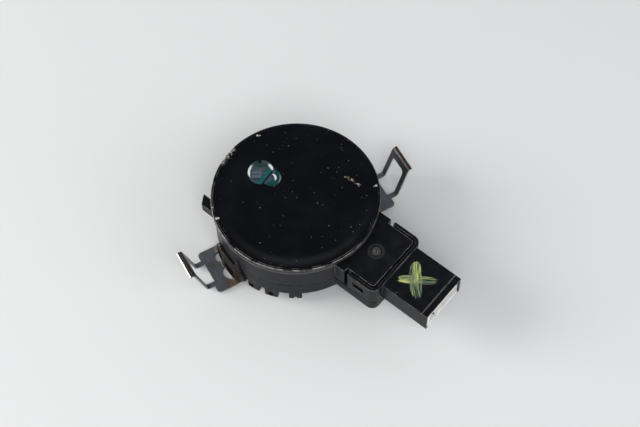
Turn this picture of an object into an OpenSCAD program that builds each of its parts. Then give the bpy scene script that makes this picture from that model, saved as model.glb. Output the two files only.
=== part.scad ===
// Windscreen rain and light sensor with a spring-steel retaining clip.
// Z = 0 is the plane it rests on, the Z axis runs through the lens disc's centre,
// and the arm with the plug socket points along +X. The coupling pad faces +Z.

/* [Lens and coupling pad] */
// Diameter of the lens disc and its coupling pad
lens_d = 45; // [36:0.5:56]
// Thickness of the silicone coupling pad
pad_t = 1; // [0.6:0.05:2]
// Thickness of the black lens disc
lens_t = 1.25; // [0.8:0.05:2]
// Edge chamfer of the lens disc and the pad
lens_chamfer = 0.2; // [0.1:0.05:0.3]
// Radius of the light window
window_r = 3.4; // [2.5:0.1:4]
// Distance of the light window from the disc's centre
window_x = 11.5; // [10:0.5:12]
// Radius of the small side lobe of the light window
lobe_r = 2.3; // [1.5:0.1:2.5]

/* [Housing] */
// How far the disc stands proud of the housing wall
lens_overhang = 0.5; // [0.3:0.1:1]
// Wall thickness of the front body and the rear cover
wall_t = 1.4; // [1:0.1:2]
// Floor thickness of the rear cover
floor_t = 1.2; // [0.8:0.1:1.6]
// Deck thickness of the front body
deck_t = 1.2; // [0.8:0.1:1.6]
// Height of the rear boss, from the rest plane to the cover's underside
boss_h = 5.8; // [5:0.1:9]
// Height of the rear cover's wall
cover_h = 4.85; // [4.6:0.05:8]
// Height of the front body, from the seam to its deck
skirt_h = 6.85; // [6.5:0.05:10]
// Height of the lens seat above the deck
seat_h = 0.45; // [0.2:0.05:1]
// Radius of the rear boss
boss_r = 15.5; // [14.5:0.5:17]
// Radius of the optical opening in the deck
optic_r = 15.5; // [15.3:0.1:16]
// How far the locating tab reaches out from the wall
tab_reach = 3.6; // [2:0.1:5]
// Width of the locating tab
tab_w = 2.8; // [2:0.1:4]
// Height of the locating tab
tab_h = 3.1; // [2:0.1:4]

/* [Arm and plug socket] */
// Sideways shift of the arm from the disc's centre
arm_y = 1.5; // [0:0.1:3]
// Width of the arm
arm_w = 20; // [17:0.1:25]
// Length of the arm's shoulder, out from the housing wall
shoulder_len = 1.4; // [1:0.1:4]
// Gap between the shoulder and the socket's rim
rim_notch = 1.2; // [0.4:0.1:1.6]
// Length of the socket's rim
rim_len = 8.9; // [7.5:0.1:12]
// Thickness of the socket's rim
rim_t = 0.9; // [0.8:0.1:1.3]
// Gap between the rim and the arm's plate
plate_gap = 0.6; // [0.3:0.1:1]
// Outer corner radius of the rim
rim_corner = 2.2; // [1.8:0.1:3]
// Width of the plug socket
socket_w = 14.3; // [13:0.1:18]
// Sideways shift of the plug socket from the disc's centre
socket_y = 2.1; // [1:0.1:3]
// Height of the plug socket
socket_h = 6.9; // [6.8:0.1:10]
// Length of the plug socket beyond the rim
socket_len = 14.4; // [12:0.1:20]
// Wall thickness of the plug socket
socket_wall = 0.8; // [0.6:0.05:1]
// Wall thickness of the socket's white liner
liner_t = 0.5; // [0.4:0.05:0.7]
// Step down from the rim's top to the socket's top
socket_drop = 0.3; // [0:0.1:0.8]
// Distance between contact pins
pin_pitch = 2.54; // [2:0.01:2.54]
// Side of a square contact pin
pin_w = 0.64; // [0.5:0.01:0.7]

/* [Spring clip] */
// Direction of the clip's left ear, in degrees from the arm
clip_angle = -111.5; // [-118:0.5:-105]
// Thickness of the spring steel
sheet_t = 0.5; // [0.4:0.05:0.6]
// Gap between the clip and the rest plane
clip_lift = 0.5; // [0.4:0.05:0.8]
// Width of the clip
clip_w = 13.4; // [12:0.1:15]
// Length of an ear's plate, out from its bend
ear_len = 4.9; // [4:0.1:7]
// Distance between the middles of a loop's legs
leg_pitch = 7.2; // [7:0.1:9]
// Width of a loop's leg
leg_w = 1.4; // [1.1:0.1:1.6]
// Height of a loop's straight leg
leg_len = 10; // [7:0.1:13]
// Outward lean of a loop, in degrees
leg_lean = 16; // [10:1:25]
// Sideways shift of an ear's plate and loop from the clip's middle line
ear_shift = 0.2; // [0:0.1:0.5]
// Height of the clip's wall flange
flange_h = 9.2; // [9:0.1:13]

/* [Circuit board] */
// Thickness of the circuit board
board_t = 1.6; // [1:0.1:2]
// Pitch radius of the four light guides
guide_pitch_r = 11.2; // [10.5:0.1:11.5]
// Radius of a light guide
guide_r = 3; // [2.5:0.1:3.2]
// Pitch radius of the board's screws
screw_pitch_r = 17.3; // [16.5:0.1:17.3]

/* [Hidden] */
$fn = 96;
eps = 0.01;                       // overshoot of a cut past a face
slip = 0.03;                      // radial play of pieces that sit in one another
gap = 0.1;                        // play between moulded pieces
ink = "#0b0c0f";                  // satin black plastic
steel = "#5d574f";                // spring steel

// Small distances inside the housing
arm_step = 1.4;                   // the arm's floor lies above the cover's
board_sink = 0.05;                // the board's top lies below the seam
seat_inset = 0.4;                 // the lens seat's edge lies inside the wall
board_inset = 0.4;                // radial play round the circuit board
ledge_w = 0.8;                    // how far the ledge reaches under the board
sharp_corner = 0.3;               // corner radius of the arm's hidden outlines
plate_corner = 0.9;               // corner radius of the arm's plate

// Levels, from the rest plane upwards
band_z = clip_lift;
boss_z = band_z + sheet_t;
cover_z = boss_h;
seam_z = cover_z + cover_h;
deck_z = seam_z + skirt_h;
seat_z = deck_z + seat_h;
pad_z = seat_z + lens_t;
plate_z = deck_z - deck_t;
arm_z = cover_z + arm_step;
board_top = seam_z - board_sink;
board_z = board_top - board_t;

// Housing and arm, seen from above
lens_r = lens_d / 2;
housing_r = lens_r - lens_overhang;
inner_r = housing_r - wall_t;
seat_r = housing_r - seat_inset;
board_r = inner_r - board_inset;
ledge_r = board_r - ledge_w;
shoulder_x = housing_r + shoulder_len;
rim_x = shoulder_x + rim_notch;
rim_end = rim_x + rim_len;
plate_end = rim_end - rim_t - plate_gap;
plate_w = arm_w - 2 * (rim_t + plate_gap);
half_arm = arm_w / 2;
half_rim_in = half_arm - rim_t;
ledge_t = 1.1;                    // thickness of the rim's ledge under the plate
ledge_in = plate_gap + 1;         // how far that ledge reaches inwards

// Plug socket
socket_top = deck_z - socket_drop;
socket_z = socket_top - socket_h;
socket_end = rim_end + socket_len;
socket_back = rim_end + 1.8;      // front of the wall that holds the pins
liner_w = socket_w - 2 * socket_wall - 2 * slip;
pin_z = socket_z + socket_h / 2;
pin_count = 4;
pin_tail = 0.5;                   // a pin's end stands out below the board
pin_tip = socket_end - 4.6;       // the pins end behind the mouth
pin_x = rim_end - rim_t - 3;      // the pins turn down to the board here
pin_hole_r = 0.55;
board_end = pin_x + 2;
latch_x = rim_x + 1.5;            // opening for the cover's snap latch
latch_w = 3.7;
latch_z = plate_z - 3.3;
latch_h = 2.2;
key_w = 0.7;                      // slot for the plug's key
key_len = 4;
key_y = socket_y - 3.2;
line_depth = 0.12;
line_w = 0.22;
line_x = socket_end - 1.9;        // fine line across the socket's top
floor_end = socket_end - 1;       // the socket's lower wall stops short of its mouth
collar_x = socket_end - 1.6;      // the liner's collar starts here
collar_y = socket_y - socket_w / 2 + 0.35;
collar_w = socket_w - 2.4;        // it leaves a black notch at its far end
collar_top = socket_top - 0.35;

// Fine line at the seam between the two halves
seam_gap = 0.3;
seam_step = 0.35;

// Small features of the front body
tab_y = -13.6;                    // sideways place of the locating tab
tab_rise = 1.6;                   // height of the tab's top above the seam
gate_x = 26.1;                    // place of the mould's gate mark on the arm's plate
gate_r = 0.95;
gate_depth = 0.2;

// Lugs below the rear cover's wall
lug_t = 2.1;
lug_inset = 0.1;
lug_hole_r = 0.85;

// Spring clip
band_r = housing_r + 0.2;
band_out = band_r + sheet_t;
hinge_r = band_out + 0.1;
ear_in = band_out + 0.2;
ear_out = hinge_r + ear_len;
half_clip = clip_w / 2;
bend_r = 1;
curl_r = 0.9;
curl_turn = 105;
foot_len = 1.2;
window_h = 4;                     // height of the two windows above the bend
channel_w = clip_w + 0.4;         // channel that the band lies in, across the boss
rivet_d = 9;                      // distance of a rivet from the boss's centre
rivet_r = 1;
rivet_head_r = 1.9;
rivet_head_z = 0.1;               // the heads stay clear of the rest plane
rivet_boss_r = rivet_r + 1.1;
rivet_boss_h = 2;
rivet_bore_h = 2.7;
rivet_len = 2.5;                  // shank above the cover's floor plane

// Optics and board
lobe_x = 7.9;
lobe_y = 0.4;
guide_angles = [45, 135, 225, 315];
frame_z = board_top + 2.4;
frame_t = 1.2;
screw_angles = [90, 210, 330];
screw_r = 0.8;
screw_head_r = 1.5;
screw_head_h = 1;
screw_len = 4;
post_r = 1.75;
pipe_r = 2;
chip_h = 1;

// ---- shared shapes ----

// A disc with both of its edges chamfered.
module chamfered_disc(r, h, c) {
    rotate_extrude($fn = 180)
        polygon([[0, 0], [r - c, 0], [r, c], [r, h - c], [r - c, h], [0, h]]);
}

// The arm seen from above, from the disc's axis to x_end, with its far corners rounded.
module arm_2d(x_end, width, corner) {
    translate([0, arm_y - width / 2]) square([x_end - corner, width]);
    translate([0, arm_y - width / 2 + corner]) square([x_end, width - 2 * corner]);
    for (side = [-1, 1])
        translate([x_end - corner, arm_y + side * (width / 2 - corner)]) circle(r = corner, $fn = 48);
}

// The window's outline: a round eye and the small lobe beside it.
module window_2d(play) {
    translate([-window_x, 0]) circle(r = window_r - play);
    translate([-lobe_x, lobe_y]) circle(r = lobe_r - play);
}

// A strip of sheet of thickness t along path, whose entries are [distance, height, heading].
function side_of(p, t) = [p[0] - t * sin(p[2]), p[1] + t * cos(p[2])];
module strip_2d(path, t) {
    last = len(path) - 1;
    polygon(concat([for (p = path) side_of(p, t / 2)],
                   [for (i = [last:-1:0]) side_of(path[i], -t / 2)]));
}

// A rectangular chip that stands on a face, centred on x and y.
module chip(x, y, z, w, d, h) {
    translate([x - w / 2, y - d / 2, z]) cube([w, d, h]);
}

// ---- optical face ----

module coupling_pad() {
    color("#10141a") translate([0, 0, pad_z]) chamfered_disc(lens_r, pad_t, lens_chamfer);
}

module lens_disc() {
    color("#05060a") difference() {
        translate([0, 0, seat_z]) chamfered_disc(lens_r, lens_t, lens_chamfer);
        translate([0, 0, seat_z - eps]) linear_extrude(lens_t + 2 * eps) window_2d(0);
    }
}

module light_window() {
    color("#3f6470") translate([0, 0, seat_z]) linear_extrude(lens_t) window_2d(slip);
}

// ---- housing ----

// Tab on the left of the wall. It starts above the seam and hangs over it.
module locating_tab() {
    tab_top = seam_z + tab_rise;
    difference() {
        translate([0, 0, tab_top - tab_h]) linear_extrude(tab_h) intersection() {
            circle(r = housing_r + tab_reach);
            translate([-housing_r - tab_reach, tab_y - tab_w / 2]) square([housing_r, tab_w]);
        }
        translate([0, 0, tab_top - tab_h - eps]) cylinder(r = housing_r + gap, h = tab_h - tab_rise + eps);
        cylinder(r = inner_r + wall_t / 2, h = tab_top + 1);
    }
}

// Round mark that the mould's gate leaves on the arm's plate, in its shallow dish.
module gate_dish() {
    dish_r = 12;
    translate([gate_x, arm_y, deck_z + dish_r - gate_depth]) sphere(r = dish_r, $fn = 180);
}
module gate_ring() {
    bead_r = 0.22;
    translate([gate_x, arm_y, deck_z - gate_depth]) {
        rotate_extrude($fn = 48) translate([gate_r, 0]) circle(r = bead_r, $fn = 16);
        cylinder(r = 2 * bead_r, h = bead_r, $fn = 24);
    }
}

module front_body() {
    color(ink) {
        difference() {
            union() {
                translate([0, 0, seam_z]) cylinder(r = housing_r, h = skirt_h, $fn = 180);
                translate([0, 0, seam_z]) linear_extrude(skirt_h)
                    arm_2d(shoulder_x, arm_w - 2 * gap, sharp_corner);
                translate([0, 0, plate_z]) linear_extrude(deck_t) arm_2d(plate_end, plate_w, plate_corner);
                translate([0, 0, deck_z]) cylinder(r = seat_r, h = seat_h, $fn = 180);
            }
            translate([0, 0, seam_z - eps]) cylinder(r = inner_r, h = skirt_h - deck_t + eps);
            translate([0, 0, seam_z - eps]) linear_extrude(skirt_h - deck_t + eps)
                arm_2d(shoulder_x + 1, arm_w - 2 * wall_t, sharp_corner);
            translate([0, 0, plate_z - eps]) cylinder(r = optic_r, h = deck_t + seat_h + 2 * eps);
            gate_dish();
        }
        gate_ring();
        locating_tab();
        for (a = screw_angles) rotate(a) translate([screw_pitch_r, 0, board_top]) difference() {
            cylinder(r = post_r, h = plate_z - board_top + eps, $fn = 32);
            translate([0, 0, -eps]) cylinder(r = screw_r + slip, h = plate_z - board_top - 1, $fn = 32);
        }
    }
}

// Opening in the rim's two long walls for the cover's latches.
module latch_openings() {
    for (side = [-1, 1])
        translate([latch_x, arm_y + side * (half_arm - rim_t / 2) - rim_t, latch_z])
            cube([latch_w, 2 * rim_t, latch_h]);
}

module plug_socket() {
    sleeve_w = arm_w - 2 * wall_t - 2 * gap;
    color(ink) difference() {
        union() {
            // Rim round the arm's plate
            translate([0, 0, seam_z]) linear_extrude(skirt_h) intersection() {
                arm_2d(rim_end, arm_w, rim_corner);
                translate([rim_x, arm_y - arm_w]) square([rim_len + 1, 2 * arm_w]);
            }
            // Sleeve that slides into the shoulder
            translate([shoulder_x - 2.6, arm_y - sleeve_w / 2, seam_z])
                cube([rim_x - shoulder_x + 3.6, sleeve_w, plate_z - seam_z]);
            // Body of the socket
            translate([rim_end - rim_t, socket_y - socket_w / 2, seam_z])
                cube([socket_len + rim_t, socket_w, socket_top - seam_z]);
            translate([rim_end + gap, socket_y - socket_w / 2, socket_z])
                cube([socket_len - gap, socket_w, socket_h]);
        }
        // Inside of the rim, above the ledge that carries the plate
        translate([0, 0, plate_z]) linear_extrude(deck_t + 1)
            arm_2d(rim_end - rim_t, 2 * half_rim_in, rim_corner - rim_t);
        // Inside of the box, below the ledge
        translate([0, 0, seam_z - eps]) linear_extrude(plate_z - ledge_t - seam_z + eps)
            arm_2d(rim_end - rim_t, 2 * half_rim_in, rim_corner - rim_t);
        // Way through the ledge
        translate([0, 0, seam_z - eps]) linear_extrude(skirt_h)
            arm_2d(rim_end - rim_t - ledge_in, 2 * (half_rim_in - ledge_in), sharp_corner);
        // The sleeve's own inside
        translate([0, arm_y - sleeve_w / 2 + 1, seam_z - eps])
            cube([rim_x + 2, sleeve_w - 2, plate_z - seam_z - 1 + eps]);
        latch_openings();
        // Cavity for the plug
        translate([socket_back, socket_y - socket_w / 2 + socket_wall, socket_z + socket_wall])
            cube([socket_len, socket_w - 2 * socket_wall, socket_h - 2 * socket_wall]);
        translate([floor_end, socket_y - liner_w / 2 - slip, socket_z - eps])
            cube([2, liner_w + 2 * slip, socket_wall + 2 * eps]);
        // Square holes for the pins
        for (y = pin_rows())
            translate([rim_end - 2 * rim_t, y - pin_w / 2 - slip, pin_z - pin_w / 2 - slip])
                cube([socket_back - rim_end + 3 * rim_t, pin_w + 2 * slip, pin_w + 2 * slip]);
        // Seat of the liner's collar in the mouth
        translate([collar_x, collar_y - slip, socket_z + socket_wall])
            cube([5, collar_w + 2 * slip, collar_top + slip - socket_z - socket_wall]);
        // Fine line across the top, near the mouth
        translate([line_x, socket_y - socket_w, socket_top - line_depth])
            cube([line_w, 2 * socket_w, 1]);
    }
}

module socket_liner() {
    liner_z = socket_z + socket_wall + slip;
    liner_h = socket_h - 2 * socket_wall - 2 * slip;
    liner_len = socket_end - 0.3 - socket_back;
    color("#dcdad6") difference() {
        union() {
            translate([socket_back, socket_y - liner_w / 2, liner_z]) cube([liner_len, liner_w, liner_h]);
            // Lip that takes the place of the shroud's lower wall at the mouth
            translate([floor_end + slip, socket_y - liner_w / 2, socket_z])
                cube([socket_end - 0.2 - floor_end, liner_w, liner_z - socket_z + liner_t]);
            // Collar that fills the mouth up to the shroud's thinned upper wall
            translate([collar_x + slip, collar_y, liner_z])
                cube([socket_end - 0.1 - collar_x - slip, collar_w, collar_top - liner_z]);
        }
        translate([socket_back - eps, socket_y - liner_w / 2 + liner_t, liner_z + liner_t])
            cube([liner_len + 1, liner_w - 2 * liner_t, liner_h - 2 * liner_t]);
        // Slot for the plug's key, in the floor
        translate([socket_end - key_len, key_y, socket_z - eps])
            cube([key_len + 1, key_w, liner_z + liner_t - socket_z + 2 * eps]);
    }
}

function pin_rows() = [for (i = [0:pin_count - 1]) socket_y + (i - (pin_count - 1) / 2) * pin_pitch];

module contact_pins() {
    color("#b9a36a") for (y = pin_rows()) {
        translate([pin_x - pin_w / 2, y - pin_w / 2, pin_z - pin_w / 2])
            cube([pin_tip - pin_x, pin_w, pin_w]);
        translate([pin_x - pin_w / 2, y - pin_w / 2, board_z - pin_tail])
            cube([pin_w, pin_w, pin_z + pin_w / 2 - board_z + pin_tail]);
    }
}

// A lug below the cover's wall, between angles a0 and a1, down to z.
module lug(a0, a1, z) {
    rotate(a0) translate([0, 0, z]) rotate_extrude(angle = a1 - a0)
        translate([housing_r - lug_t, 0]) square([lug_t - lug_inset, cover_z - z + floor_t / 2]);
}
module lugs() {
    bored = [[-86.5, -77.5, 2.3, -84], [-73, -63.5, 2.1, -68.5]];
    split = [-55.5, -46.3, 2.8, -51];
    for (b = bored) difference() {
        lug(b[0], b[1], b[2]);
        rotate(b[3]) translate([housing_r - lug_t - 1, 0, b[2] + 1.3]) rotate([0, 90, 0])
            cylinder(r = lug_hole_r, h = lug_t + 2, $fn = 32);
    }
    difference() {
        lug(split[0], split[1], split[2]);
        rotate(split[3]) translate([housing_r - lug_t - 1, 0, split[2] - 0.5]) rotate([45, 0, 0])
            cube([lug_t + 2, 1, 1]);
    }
}

// Snap latch that stands on the arm's floor and catches in the rim's opening.
module snap_latch(side) {
    latch_t = 0.8;
    play = 0.3;
    length = latch_w - 2 * play;
    wall_y = half_rim_in - gap;
    translate([latch_x + play, arm_y, 0]) mirror([0, side < 0 ? 1 : 0, 0]) {
        translate([0, wall_y - latch_t, arm_z + floor_t / 2])
            cube([length, latch_t, latch_z + latch_h - play - arm_z - floor_t / 2]);
        translate([0, wall_y - eps, latch_z + play]) rotate([90, 0, 90])
            linear_extrude(length) polygon([[0, 0], [rim_t / 2, 0], [0, latch_h - 2 * play]]);
    }
}

module rear_cover() {
    step_h = 1;
    color(ink) {
        difference() {
            union() {
                translate([0, 0, cover_z]) cylinder(r = housing_r, h = cover_h - seam_gap, $fn = 180);
                translate([0, 0, arm_z]) linear_extrude(seam_z - seam_gap - arm_z)
                    arm_2d(rim_end, arm_w, rim_corner);
                // Upper edge, set in so that a fine line shows at the seam
                translate([0, 0, seam_z - step_h])
                    cylinder(r = housing_r - seam_step, h = step_h, $fn = 180);
                translate([0, 0, seam_z - step_h]) linear_extrude(step_h)
                    arm_2d(rim_end - seam_step, arm_w - 2 * seam_step, rim_corner - seam_step);
                difference() {
                    cylinder(r = boss_r, h = cover_z + floor_t / 2, $fn = 120);
                    rotate(clip_angle) translate([-2 * boss_r, -channel_w / 2, -eps])
                        cube([4 * boss_r, channel_w, boss_z + eps]);
                }
                lugs();
                rotate(180) lugs();
            }
            translate([0, 0, cover_z + floor_t]) cylinder(r = inner_r, h = cover_h);
            translate([0, 0, boss_z + floor_t]) cylinder(r = boss_r - wall_t, h = cover_z);
            translate([0, 0, arm_z + floor_t]) linear_extrude(seam_z - arm_z)
                arm_2d(rim_end - wall_t, arm_w - 2 * wall_t, rim_corner - wall_t);
            rivet_bores(boss_z - eps);
        }
        // Ledge that carries the circuit board
        translate([0, 0, cover_z + floor_t - eps]) difference() {
            cylinder(r = inner_r + wall_t / 2, h = board_z - cover_z - floor_t + eps);
            translate([0, 0, -1]) cylinder(r = ledge_r, h = 5);
            translate([0, arm_y - half_arm + wall_t, -1]) cube([housing_r, arm_w - 2 * wall_t, 5]);
        }
        difference() {
            for (d = [-rivet_d, rivet_d]) rotate(clip_angle) translate([d, 0, boss_z + floor_t - eps])
                cylinder(r = rivet_boss_r, h = rivet_boss_h, $fn = 32);
            rivet_bores(boss_z - eps);
        }
        for (side = [-1, 1]) snap_latch(side);
    }
}

module rivet_bores(z) {
    for (d = [-rivet_d, rivet_d]) rotate(clip_angle) translate([d, 0, z])
        cylinder(r = rivet_r + slip, h = rivet_bore_h, $fn = 32);
}

// ---- spring clip ----

// Flange that stands against the housing wall. It is wider on one side, has two windows
// just above its bend and a pointed tongue on top.
module wall_flange() {
    wing = 2.4;
    tongue_s = 6.6;
    tongue_h = 3;
    outline = [[-half_clip, 0], [-half_clip, 0.6], [-4.5, 5], [-1.5, flange_h], [tongue_s - 0.8, flange_h],
               [tongue_s, flange_h + tongue_h], [tongue_s + 0.8, flange_h - 1.5],
               [half_clip + wing, 4.5], [half_clip, 0.8], [half_clip, 0]];
    windows = [[-4.2, 3.2], [0.7, 4.3]];
    intersection() {
        translate([0, 0, band_z]) rotate(-30) rotate_extrude(angle = 60, $fn = 180)
            translate([band_r, 0]) square([sheet_t, flange_h + tongue_h + 1]);
        translate([0, 0, band_z]) rotate([90, 0, 90]) linear_extrude(2 * band_out) difference() {
            polygon(outline);
            for (w = windows) translate([w[0], sheet_t + 0.1]) square([w[1], window_h]);
        }
    }
}

module clip_band() {
    color(steel) rotate(clip_angle) difference() {
        union() {
            intersection() {
                translate([-2 * housing_r, -half_clip, band_z]) cube([4 * housing_r, clip_w, sheet_t]);
                cylinder(r = band_r + sheet_t / 2, h = boss_z + 1, $fn = 180);
            }
            wall_flange();
            rotate(180) wall_flange();
        }
        for (d = [-rivet_d, rivet_d]) translate([d, 0, 0]) cylinder(r = rivet_r + slip, h = 3, $fn = 32);
    }
}

module clip_rivets() {
    color("#8a8a88") for (d = [-rivet_d, rivet_d]) rotate(clip_angle) translate([d, 0, 0]) {
        translate([0, 0, rivet_head_z]) cylinder(r = rivet_head_r, h = band_z - rivet_head_z, $fn = 48);
        translate([0, 0, band_z - eps]) cylinder(r = rivet_r, h = boss_z - band_z + rivet_len, $fn = 32);
    }
}

// Side view of an ear's leg: flat foot, bend upwards, leaning leg, and a curl outwards at the top.
function leg_path() =
    let (mid = band_z + sheet_t / 2, foot = ear_out + foot_len, rise = 90 - leg_lean,
         knee = [foot + bend_r * sin(rise), mid + bend_r * (1 - cos(rise))],
         top = [knee[0] + leg_len * cos(rise), knee[1] + leg_len * sin(rise)],
         hub = [top[0] + curl_r * sin(rise), top[1] - curl_r * cos(rise)])
    concat([[ear_out - 2, mid, 0]],
           [for (a = [0:rise / 6:rise]) [foot + bend_r * sin(a), mid + bend_r * (1 - cos(a)), a]],
           [for (a = [0:curl_turn / 8:curl_turn])
               [hub[0] - curl_r * sin(rise - a), hub[1] + curl_r * cos(rise - a), rise - a]]);

// One ear, pointing along +X: a plate with the loop that hooks the mounting bracket.
module ear() {
    half_out = (leg_pitch + leg_w) / 2;
    half_in = (leg_pitch - leg_w) / 2;
    bar_z = band_z + leg_len - 0.9;
    shoulder = 1.1;
    dip = 0.5;
    difference() {
        translate([0, ear_shift, 0]) union() {
            translate([0, 0, band_z]) linear_extrude(sheet_t) {
                plate_half(half_in, shoulder, dip);
                mirror([0, 1]) plate_half(half_in, shoulder, dip);
            }
            intersection() {
                translate([0, half_out, 0]) rotate([90, 0, 0]) linear_extrude(2 * half_out)
                    strip_2d(leg_path(), sheet_t);
                rotate([90, 0, 90]) linear_extrude(2 * ear_out)
                    polygon([[-half_out, -1], [half_out, -1], [half_out - 0.3, 2 * leg_len],
                             [-half_out + 0.3, 2 * leg_len]]);
            }
        }
        translate([0, 0, -1]) cylinder(r = ear_in, h = 10, $fn = 180);
        // Windows at the bend, rounded into the plate
        for (w = [[-2.6, 1.6], [2.8, 2.1]])
            translate([ear_in - 0.4 * w[1], w[0], 0]) cylinder(r = w[1], h = 5, $fn = 48);
        // Opening of the loop
        translate([ear_out - dip, ear_shift, 0]) rotate([90, 0, 90]) linear_extrude(2 * ear_out)
            polygon([[-half_in, -1], [half_in, -1], [half_in - 0.25, bar_z - 0.6], [half_in - 0.85, bar_z],
                     [-half_in + 0.85, bar_z], [-half_in + 0.25, bar_z - 0.6]]);
    }
}

// Half of an ear's plate, with rounded shoulders beside the loop's leg.
module plate_half(half_in, shoulder, dip) {
    polygon([[0, 0], [ear_out - dip, 0], [ear_out - dip, half_in - dip], [ear_out, half_in],
             [ear_out, half_clip - shoulder], [ear_out - shoulder, half_clip], [0, half_clip]]);
    translate([ear_out - shoulder, half_clip - shoulder]) circle(r = shoulder, $fn = 32);
}

module clip_ear_left() {
    color(steel) rotate(clip_angle) ear();
}

module clip_ear_right() {
    color(steel) rotate(clip_angle + 180) ear();
}

// ---- board and optics ----

module circuit_board() {
    color("#1d4a2c") translate([0, 0, board_z]) difference() {
        union() {
            cylinder(r = board_r, h = board_t, $fn = 120);
            translate([0, arm_y - half_rim_in + 1.1, 0])
                cube([board_end, 2 * (half_rim_in - 1.1), board_t]);
        }
        for (a = screw_angles) rotate(a) translate([screw_pitch_r, 0, -eps])
            cylinder(r = screw_r + 0.2, h = board_t + 2 * eps, $fn = 32);
        for (y = pin_rows()) translate([pin_x, y, -eps])
            cylinder(r = pin_hole_r, h = board_t + 2 * eps, $fn = 24);
    }
}

module board_screws() {
    color("#8c8f94") for (a = screw_angles) rotate(a) translate([screw_pitch_r, 0, 0]) {
        difference() {
            translate([0, 0, board_z - screw_head_h])
                cylinder(r = screw_head_r, h = screw_head_h, $fn = 32);
            translate([-0.2, -2, board_z - screw_head_h - 0.1]) cube([0.4, 4, 0.5]);
        }
        translate([0, 0, board_z - eps]) cylinder(r = screw_r, h = board_t + screw_len, $fn = 32);
    }
}

module optics_frame() {
    wall = 1;
    reach = optic_r - 1.5;
    color("#15161a") difference() {
        union() {
            translate([0, 0, frame_z]) cylinder(r = optic_r - 0.5, h = frame_t, $fn = 96);
            // Light barriers between the emitting and the receiving side
            translate([-wall / 2, -reach, board_top]) cube([wall, 2 * reach, frame_z - board_top + eps]);
            translate([0, -wall / 2, board_top]) cube([reach, wall, frame_z - board_top + eps]);
        }
        for (a = guide_angles) rotate(a) translate([guide_pitch_r, 0, frame_z - eps])
            cylinder(r = guide_r - 0.6 + slip, h = frame_t + 2 * eps, $fn = 48);
        translate([-window_x, 0, frame_z - eps])
            cylinder(r = pipe_r + slip, h = frame_t + 2 * eps, $fn = 48);
        for (a = screw_angles) rotate(a) translate([screw_pitch_r, 0, board_top - eps])
            cylinder(r = post_r + 0.2, h = 6, $fn = 32);
    }
}

module light_guides() {
    top = seat_z - (frame_z + frame_t);
    color("#9fb7c4") for (a = guide_angles) rotate(a) translate([guide_pitch_r, 0, frame_z + frame_t])
        rotate_extrude($fn = 48) polygon([[0, -2.2], [1.4, -2.1], [2.1, -1.8], [guide_r - 0.6, -1.2],
            [guide_r - 0.6, 0], [guide_r, 0], [guide_r, 0.6], [guide_r - 0.4, 1], [guide_r - 0.4, top],
            [0, top]]);
}

module light_pipe() {
    top = seat_z - (board_top + chip_h);
    color("#a9c4cc") translate([-window_x, 0, board_top + chip_h]) rotate_extrude($fn = 48)
        polygon([[0, 0], [pipe_r - 0.4, 0], [pipe_r, 0.6], [pipe_r, frame_z + frame_t - board_top - chip_h],
                 [pipe_r + 0.6, top - 0.8], [pipe_r + 0.6, top], [0, top]]);
}

module ir_emitters() {
    color("#33363b") for (a = [45, 315]) rotate(a) {
        chip(guide_pitch_r, 0, board_top, 3.2, 2.6, 0.7);
        translate([guide_pitch_r, 0, board_top + 0.7 - eps]) cylinder(r1 = 1.1, r2 = 0.7, h = 0.4, $fn = 32);
    }
}

module photodiodes() {
    color("#2a2c33") for (a = [135, 225]) rotate(a) chip(guide_pitch_r, 0, board_top, 4, 3.2, chip_h);
}

module light_sensor() {
    color("#22262b") chip(-window_x, 0, board_top, 3.4, 3.4, chip_h);
}

module microcontroller() {
    side = 7;
    lead_pitch = 0.9;
    color("#17181a") {
        chip(-4, 2, board_z - chip_h, side, side, chip_h);
        for (turn = [0:90:270]) for (i = [-3:3])
            translate([-4, 2, board_z - 0.4]) rotate(turn)
                translate([side / 2 - eps, i * lead_pitch - 0.15, 0]) cube([0.8, 0.3, 0.4]);
    }
}

module bus_transceiver() {
    color("#17181a") {
        chip(3, 9.5, board_z - 1.4, 5, 3.9, 1.4);
        for (side = [-1, 1]) for (i = [-1.5:1:1.5])
            translate([3 + i * 1.27 - 0.2, 9.5 + side * 2.3 - 0.4, board_z - 0.4]) cube([0.4, 0.8, 0.4]);
    }
}

module buffer_capacitor() {
    color("#a7abb0") translate([6.5, -3.5, board_z - 5]) {
        cylinder(r = 3.1, h = 4.4, $fn = 48);
        translate([-3.3, -3.3, 4.4 - eps]) cube([6.6, 6.6, 0.6]);
    }
}

module chip_parts() {
    size = [1.6, 0.8, 0.5];
    color("#8f7f6a") {
        for (i = [0:5]) chip(21, arm_y - 5 + 2 * i, board_top, size[0], size[1], size[2]);
        for (i = [0:4]) chip(-6 + 2.4 * i, -11, board_z - size[2], size[1], size[0], size[2]);
        for (i = [0:3]) chip(-13, -3 + 2.2 * i, board_z - size[2], size[0], size[1], size[2]);
    }
}

coupling_pad();
lens_disc();
light_window();
front_body();
plug_socket();
socket_liner();
contact_pins();
rear_cover();
clip_band();
clip_ear_left();
clip_ear_right();
clip_rivets();
circuit_board();
board_screws();
optics_frame();
light_guides();
light_pipe();
ir_emitters();
photodiodes();
light_sensor();
microcontroller();
bus_transceiver();
buffer_capacitor();
chip_parts();
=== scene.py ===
"""Windscreen rain and light sensor: a black disc with a silicone coupling pad, an arm with a
plug socket, and a spring-steel clip with two upright loops. Z = 0 is the plane it rests on."""
import bpy
import bmesh
import math
import numpy as np
from mathutils import Matrix, Vector


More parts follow.
